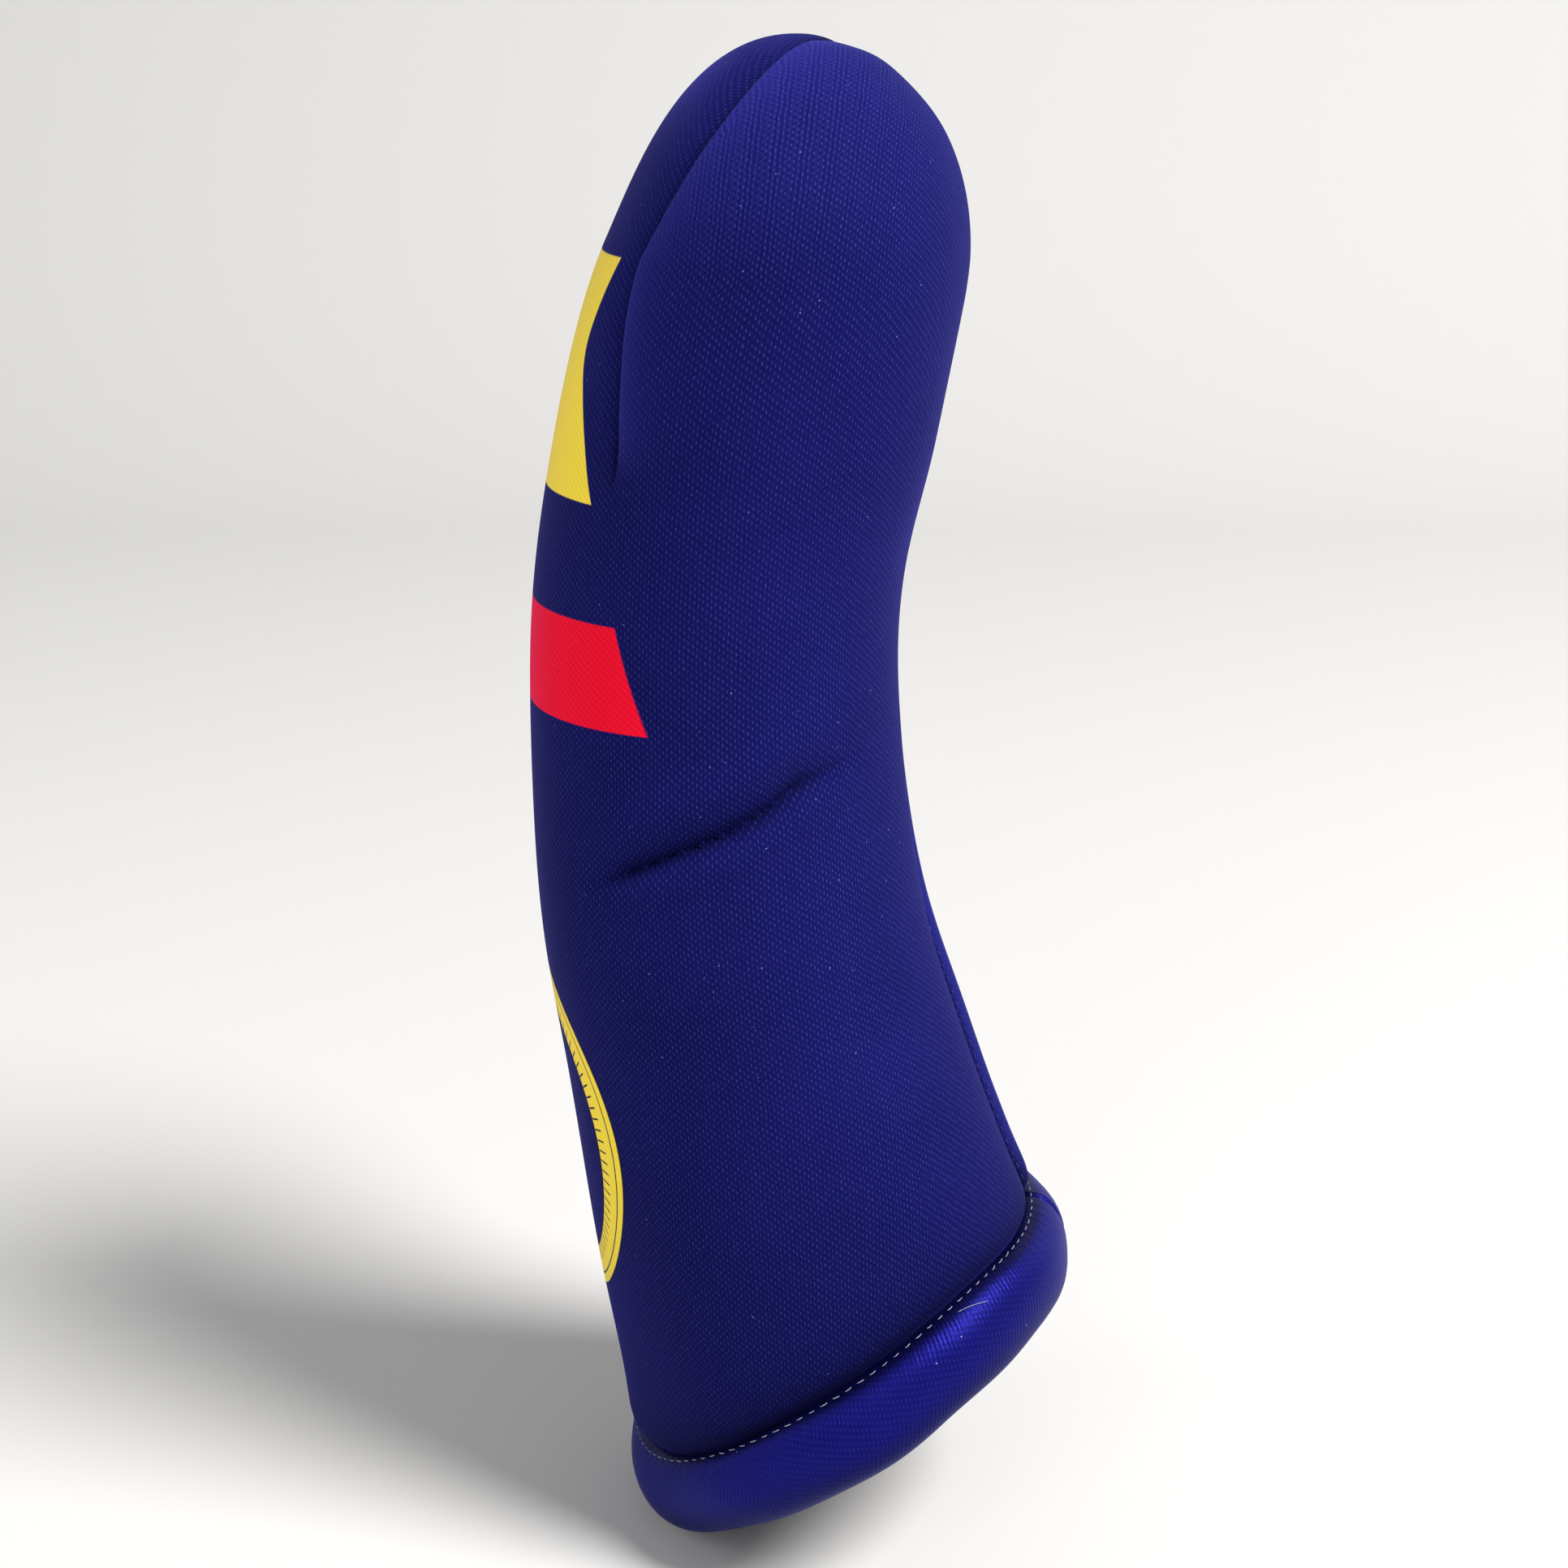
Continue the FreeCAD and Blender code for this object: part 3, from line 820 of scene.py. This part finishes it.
def unevenPanel(add, place, amount):
    # the panel's own millimetres, pushed about a little so that no two stitches are quite alike
    push = add("TexNoise", {"Vector": place, "Scale": 0.35, "Detail": 2.0})["Color"]
    push = add("VectorMath", (push, (0.5, 0.5, 0.5)), "SUBTRACT")[0]
    push = add("VectorMath", {0: push, "Scale": 2 * amount}, "SCALE")[0]
    panel = add("UVMap", uv_map="panel")[0]
    return add("VectorMath", (panel, push), "ADD")[0]


def inside(add, value, low, high, soft=0.12):
    # 1 where the value lies between two limits, with an edge a little softer than a cut
    over = add("MapRange", (value, low - soft, low + soft))[0]
    under = add("MapRange", (value, high - soft, high + soft, 1.0, 0.0))[0]
    return add("Math", (over, under), "MULTIPLY")[0]


def millimetres(add):
    # the point's place on the object, in millimetres
    place = add("TexCoord")["Object"]
    return add("VectorMath", {0: place, "Scale": 1000.0}, "SCALE")[0]


def mixed(add, share, first, second):
    # a colour between two others; each is a socket or an sRGB hex value
    first, second = (hexColour(each) if isinstance(each, str) else each for each in (first, second))
    return add("Mix", {0: share, 6: first, 7: second}, data_type="RGBA")[2]


def tinted(add, colour, mark, most, tone):
    # the colour moves towards a tone, by up to a share, where the mesh holds a mark
    value = add("Attribute", attribute_name=mark)["Fac"]
    share = add("MapRange", {0: value, 3: 0.0, 4: most})[0]
    return mixed(add, share, colour, tone)


def patches(add, place, scale, detail, low, high, least=0.0):
    # soft random patches from least to 1: noise, stretched between low and high
    noise = add("TexNoise", {"Vector": place, "Scale": scale, "Detail": detail})[0]
    return add("MapRange", (noise, low, high, least, 1.0))[0]


def withLint(add, colour, place, lint):
    # specks of lint: one in some cells of a random mesh, a little paler than the cloth
    cells = add("TexVoronoi", {"Vector": place, "Scale": 1 / lint["gap"]})
    reach = lint["size"] / lint["gap"]
    near = add("MapRange", (cells["Distance"], reach, 0.6 * reach))[0]
    chosen = add("SeparateXYZ", (cells["Color"],))[0]
    some = add("Math", (chosen, 1 - lint["share"]), "GREATER_THAN")[0]
    speck = add("Math", (near, some), "MULTIPLY")[0]
    return mixed(add, speck, colour, lint["tone"])


def finishCloth(add, shader, colour, relief, strength, distance, surface):
    # the colour, a bump from the relief, and the surface's own values
    links = shader.id_data.links
    links.new(colour, shader.inputs["Base Color"])
    bump = add("Bump", {"Height": relief, "Strength": strength, "Distance": distance})[0]
    links.new(bump, shader.inputs["Normal"])
    for name, value in surface.items():
        shader.inputs[name].default_value = value


def printedKnit():
    # polyester warp knit with printed colour: matt and a little brushed, with pale floats in columns
    material, shader, add = newMaterial("printed_polyester_knit")
    place = millimetres(add)
    x, y, z = add("SeparateXYZ", (place,))
    half = add("Math", (x,), "ABSOLUTE")[0]
    panel = add("SeparateXYZ", (unevenPanel(add, place, 0.35),))
    both, floats = stagger(add, panel[0], panel[1], knit["columnGap"], knit["rowGap"], knit["lag"])
    uneven = patches(add, place, 0.9, 2.0, 0.35, 0.65, 0.35)
    floats = add("Math", (floats, uneven), "MULTIPLY")[0]
    cloud = patches(add, place, 0.03, 3.0, 0.3, 0.7)
    colour = mixed(add, cloud, knit["deep"], knit["cloud"])
    colour = mixed(add, floats, colour, knit["float"])

    # the yellow field widens upwards and downwards from its waist, and the red bar's sides slope a little
    front = add("Math", (y, prints["frontY"]), "LESS_THAN")[0]
    below, above = [add("Math", (z, slope, wide - slope * level), "MULTIPLY_ADD")[0]
                    for wide, level, slope in prints["blazeSides"]]
    blazeSide = add("Math", (below, above, prints["blazeRound"]), "SMOOTH_MAX")[0]
    barSide = add("MapRange", (z, prints["barTop"], prints["barFoot"], *prints["barHalf"]))[0]
    grain = add("MapRange", (both, -0.8, 0.8))[0]
    yellow = mixed(add, grain, prints["yellowDeep"], prints["yellow"])
    red = mixed(add, grain, prints["redDeep"], prints["red"])
    for name, side, tone in (("blaze", blazeSide, yellow), ("bar", barSide, red)):
        past = add("Math", (half, side), "SUBTRACT")[0]
        level = inside(add, z, prints[name + "Foot"], prints[name + "Top"])
        mask = add("Math", (inside(add, past, -90, 0), level), "MULTIPLY")[0]
        mask = add("Math", (mask, front), "MULTIPLY")[0]
        colour = mixed(add, mask, colour, tone)

    # a plain oval ring low on the front, shaded with short hatch lines
    wide, tall = prints["ringHalf"]
    ringX = add("Math", (x, wide), "DIVIDE")[0]
    ringZ = add("Math", (z, 1 / tall, -prints["ringCentre"] / tall), "MULTIPLY_ADD")[0]
    ringPlace = add("CombineXYZ", (ringX, ringZ))[0]
    ringOut = add("VectorMath", (ringPlace,), "LENGTH")["Value"]
    bandHalf = prints["ringBand"] / 2 / wide
    ring = inside(add, ringOut, 1 - bandHalf, 1 + bandHalf, 0.004)
    edge = inside(add, ringOut, 1 - 1.2 * bandHalf, 1 + 1.2 * bandHalf, 0.004)
    turn = add("Math", (ringX, ringZ), "ARCTAN2")[0]
    hatch = add("Math", (turn, prints["hatches"]), "MULTIPLY")[0]
    hatch = add("Math", (hatch,), "SINE")[0]
    hatch = add("MapRange", (hatch, 0.75, 0.95))[0]
    inner = inside(add, ringOut, 1 - bandHalf, 1 - 0.25 * bandHalf, 0.01)
    hatch = add("Math", (hatch, inner), "MULTIPLY")[0]
    line = inside(add, ringOut, 1 + 0.42 * bandHalf, 1 + 0.52 * bandHalf, 0.004)
    hatch = add("Math", (hatch, line), "MAXIMUM")[0]
    hatch = add("Math", (hatch, ring), "MULTIPLY")[0]
    for mask, tone in ((edge, prints["ink"]), (ring, yellow), (hatch, prints["ink"])):
        mask = add("Math", (mask, front), "MULTIPLY")[0]
        colour = mixed(add, mask, colour, tone)

    colour = withLint(add, colour, place, knit["lint"])
    # the gathers' ribs: painted light and shade in stripes, as well as a bump
    gather = add("Attribute", attribute_name="gather")["Fac"]
    ribs = add("Math", (wave(add, panel[0], knit["ribGap"]), gather), "MULTIPLY")[0]
    ribShade = add("MapRange", (ribs, 0.0, 1.0, 0.0, 0.45))[0]
    colour = mixed(add, ribShade, colour, knit["rib"])
    # painted highlight on the rims, then painted shade in the grooves, creases and by the seams
    colour = tinted(add, colour, "rim", *knit["rim"])
    colour = tinted(add, colour, "paintedShade", *knit["paintedShade"])
    relief = add("Math", (both, 0.5, 0.5), "MULTIPLY_ADD")[0]
    relief = add("Math", (ribs, 2.4, relief), "MULTIPLY_ADD")[0]
    relief = add("Math", (floats, 0.6, relief), "MULTIPLY_ADD")[0]
    finishCloth(add, shader, colour, relief, 0.35, 0.00012, {
        "Roughness": 0.72, "IOR": 1.5, "Specular IOR Level": 0.04, "Specular Tint": hexColour("#7a78ff"),
        "Sheen Weight": 0.2, "Sheen Roughness": 0.4, "Sheen Tint": hexColour("#4f4bd4")})
    return material


satin = {
    "columnGap": 0.8, "rowGap": 1.1, "lag": 0.33,
    # a share and a tone for the painted shade
    "deep": "#10115c", "cloud": "#131468", "float": "#20217e", "paintedShade": (0.8, "#05051c"),
    "ribGap": 0.95, "ribSlant": 0.2,
    "lint": {"gap": 5.0, "size": 0.2, "share": 0.4, "tone": "#8c8cb4"},
}


def bandKnit():
    # glossier polyester knit cut on its length: fine ribs run across the roll and give it a satin glow
    material, shader, add = newMaterial("satin_polyester_knit")
    place = millimetres(add)
    panel = add("SeparateXYZ", (add("UVMap", uv_map="panel")[0],))
    both, floats = stagger(add, panel[0], panel[1], satin["columnGap"], satin["rowGap"], satin["lag"])
    cloud = patches(add, place, 0.05, 3.0, 0.3, 0.7)
    colour = mixed(add, cloud, satin["deep"], satin["cloud"])
    colour = mixed(add, floats, colour, satin["float"])
    # painted shade by the stitches and on the roll's underside
    colour = tinted(add, colour, "paintedShade", *satin["paintedShade"])
    colour = withLint(add, colour, place, satin["lint"])
    ribs = add("Math", (panel[1], satin["ribSlant"], panel[0]), "MULTIPLY_ADD")[0]
    ribs = wave(add, ribs, satin["ribGap"])
    relief = add("Math", (both, 0.4, ribs), "MULTIPLY_ADD")[0]
    finishCloth(add, shader, colour, relief, 0.3, 0.0001, {
        "Roughness": 0.42, "IOR": 1.5, "Metallic": 0.35, "Specular IOR Level": 0.2,
        "Specular Tint": hexColour("#6a66ff"), "Sheen Weight": 0.05, "Sheen Roughness": 0.3,
        "Sheen Tint": hexColour("#3c38d0")})
    return material


def liningKnit():
    # thin plain knit inside: dull, with fine upright wales
    material, shader, add = newMaterial("brushed_lining_knit")
    place = millimetres(add)
    panel = add("SeparateXYZ", (add("UVMap", uv_map="panel")[0],))
    both, floats = stagger(add, panel[0], panel[1], 0.9, 0.9, 0.5)
    wear = add("TexNoise", {"Vector": place, "Scale": 0.12, "Detail": 4.0})[0]
    colour = mixed(add, wear, "#17172c", "#22223c")
    colour = mixed(add, floats, colour, "#34345a")
    finishCloth(add, shader, colour, both, 0.3, 0.0001,
                {"Roughness": 0.9, "Specular IOR Level": 0.2, "Sheen Weight": 0.15})
    return material


def foamCore():
    # open-cell polyurethane foam: dull grey with pores about half a millimetre wide
    material, shader, add = newMaterial("polyurethane_foam")
    pores = add("TexVoronoi", {"Vector": millimetres(add), "Scale": 1.9})["Distance"]
    pores = add("MapRange", (pores, 0.1, 0.6))[0]
    colour = mixed(add, pores, "#2a2a30", "#55555c")
    finishCloth(add, shader, colour, pores, 0.6, 0.0003, {"Roughness": 0.95, "Specular IOR Level": 0.2})
    return material


def sewingThread(name, dark, light):
    # spun polyester thread: a soft gloss, mottled about every third of a millimetre by its twist
    material, shader, add = newMaterial(name)
    twist = patches(add, millimetres(add), 3.2, 2.0, 0.35, 0.65)
    colour = mixed(add, twist, dark, light)
    finishCloth(add, shader, colour, twist, 0.4, 0.0001, {"Roughness": 0.55, "Specular IOR Level": 0.4})
    return material


shape = makeBody()
layers = body["layers"]
foamIn, foamOut = layers["knit"], layers["knit"] + layers["foam"]
cavity = foamOut + layers["lining"]
faceKnit = cupShell("body_face_knit_cloth", shape, (0, layers["knit"]), printedKnit())
bodyFoam = cupShell("body_foam_sheet", shape, (foamIn, foamOut), foamCore(), 2, 1)
bodyLining = cupShell("body_lining_cloth", shape, (foamOut, cavity), liningKnit(), 2)
print("body:", len(faceKnit.data.polygons), "faces in the outer knit")

bandSkin = bandShell("hem_band_cloth", (0.0, band["skin"]), bandKnit(), 4)
bandFoam = bandShell("hem_band_core", (band["skin"],), foamCore(), 1)
print("roll:", len(bandSkin.data.polygons), "faces in the strip")

paleThread = sewingThread("pale_polyester_thread", "#6c6c86", "#a6a6ba")
blueThread = sewingThread("indigo_polyester_thread", "#181860", "#2c2c84")

hemAngle = np.linspace(-np.pi, np.pi, band["stitches"], endpoint=False) + np.pi / band["stitches"]
edge, down, around, out = bandFrame(hemAngle)
meeting = np.arcsin((rollSunk(hemAngle) - thread["hemSink"]) / band["halfDepth"])
meeting = (rollHalf(hemAngle) * (1 - np.cos(meeting)) - thread["hemRise"])[:, None]
points, faces = stitchMesh(edge + meeting * down + thread["hemOut"] * out, around, out,
                           thread["hemLength"], thread["hemRadius"], thread["hemSeed"])

# one loose end lies on the roll; each pair is a start and how far it goes: round the hem, round the
# section in degrees, and clear of the cloth in millimetres
loose = {"course": ((2.2, 0.14), (28, 18), (0.12, 0.5)), "wave": 0.006, "radius": 0.07, "rings": 26}
reach = np.linspace(0, 1, loose["rings"])
looseAngle, looseTurn, looseClear = (start + far * reach for start, far in loose["course"])
looseAngle = looseAngle + loose["wave"] * np.sin(5 * reach)
loosePath = rollPoints(looseAngle, np.radians(looseTurn), -looseClear)[0]
loosePoints, looseFaces = looseEnd(loosePath, loose["radius"])
looseFaces = [[corner + len(points) for corner in face] for face in looseFaces]
hemThread = newPiece("hem_stitching", join([points, loosePoints]), faces + looseFaces, paleThread)

surface, normals = shape["final"], shape["normals"]
high = shape["height"] > 1.0 - (headZ - dartEndZ - 9) / (headZ - hemZ)
dartLeft, dartRight = (
    seamPiece("dart_stitching_" + name, "dart", surface[high][:-9, column], normals[high][:-9, column])
    for name, column in (("left", shape["right"]), ("right", shape["left"])))
backThread = seamPiece("back_seam_stitching", "back", surface[2:-9, 0], normals[2:-9, 0])
bandPoints = bandSurface(band["stitches"] * band["columnsPerStitch"], 80, 0)[0][6:58, 0]
bandOut = unit(np.gradient(bandPoints, axis=0))
bandOut = np.cross(np.array([[1.0, 0, 0]]), bandOut)
bandOut = bandOut * np.sign((bandOut * (bandPoints - bandPoints.mean(0))).sum(-1, keepdims=True))
endThread = seamPiece("hem_band_end_stitching", "end", bandPoints, bandOut)
print("seams: stitches placed")

for piece, node, slotName in (
        (faceKnit, "body_face_knit", "printed_knit"), (bodyFoam, "body_foam", "foam"),
        (bodyLining, "body_lining", "lining_knit"), (bandSkin, "hem_band_face_knit", "band_knit"),
        (bandFoam, "hem_band_foam", "foam"), (hemThread, "hem_seam_thread", "hem_thread"),
        (backThread, "back_seam_thread", "seam_thread"), (dartLeft, "dart_seam_thread_left", "seam_thread"),
        (dartRight, "dart_seam_thread_right", "seam_thread"),
        (endThread, "hem_band_end_seam_thread", "seam_thread")):
    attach(piece, "root")
    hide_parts(node)


# the studio, in metres
studio = {"floorZ": cadLow.z + 0.0014, "floorFront": 1.6, "wallX": -1.6, "halfWidth": 2.4,
          "backRadius": 0.5, "backHeight": 1.6, "paper": "#cfcfcf"}


def sweepBackdrop():
    # a floor that curves up behind the object and stands as a wall: straight, quarter circle, straight
    r, low = studio["backRadius"], studio["floorZ"]
    bend = np.linspace(0, np.pi / 2, 24)
    far = studio["wallX"]
    curve = np.stack([far + r - r * np.sin(bend), low + r - r * np.cos(bend)], -1)
    profile = join([[[studio["floorFront"], low]], curve, [[far, low + studio["backHeight"]]]])
    wide = np.array([-studio["halfWidth"], studio["halfWidth"]])
    points = np.stack([np.repeat(profile[:, :1], 2, 1), np.tile(wide, (len(profile), 1)),
                       np.repeat(profile[:, 1:], 2, 1)], -1)
    material, shader, add = newMaterial("matt_paper")
    shader.inputs["Base Color"].default_value = hexColour(studio["paper"])
    shader.inputs["Roughness"].default_value = 0.9
    faces = gridQuads(len(profile), 2, wrap=False, flip=True)
    return newPiece("backdrop", points.reshape(-1, 3) / mm, faces.tolist(), material)


backdrop = sweepBackdrop()
backdrop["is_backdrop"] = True

lamps = (
    {"name": "overhead", "place": (0.9, 1.45, 2.2), "size": 1.1, "power": 122.0, "colour": "#fffdfa"},
    {"name": "camera_side", "place": (1.3, -0.5, 0.9), "size": 0.9, "power": 5.0, "colour": "#ffffff"},
    {"name": "front_side", "place": (0.1, -1.3, 0.7), "size": 0.8, "power": 3.0, "colour": "#ffffff"},
)
for lamp in lamps:
    data = bpy.data.lights.new(lamp["name"], "AREA")
    data.shape = "DISK"
    data.size = lamp["size"]
    data.energy = lamp["power"]
    data.color = hexColour(lamp["colour"])[:3]
    aimedObject(lamp["name"], data, lamp["place"], (0, 0, 0.12))

world = bpy.data.worlds.new("studio")
world.use_nodes = True
world.node_tree.nodes["Background"].inputs["Color"].default_value = hexColour("#ffffff")
world.node_tree.nodes["Background"].inputs["Strength"].default_value = 0.28
bpy.context.scene.world = world
bpy.context.scene.view_settings.view_transform = "Standard"
print("studio ready")

low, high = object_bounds()
print("size kept:", [round(v, 4) for v in (*low, *high)])
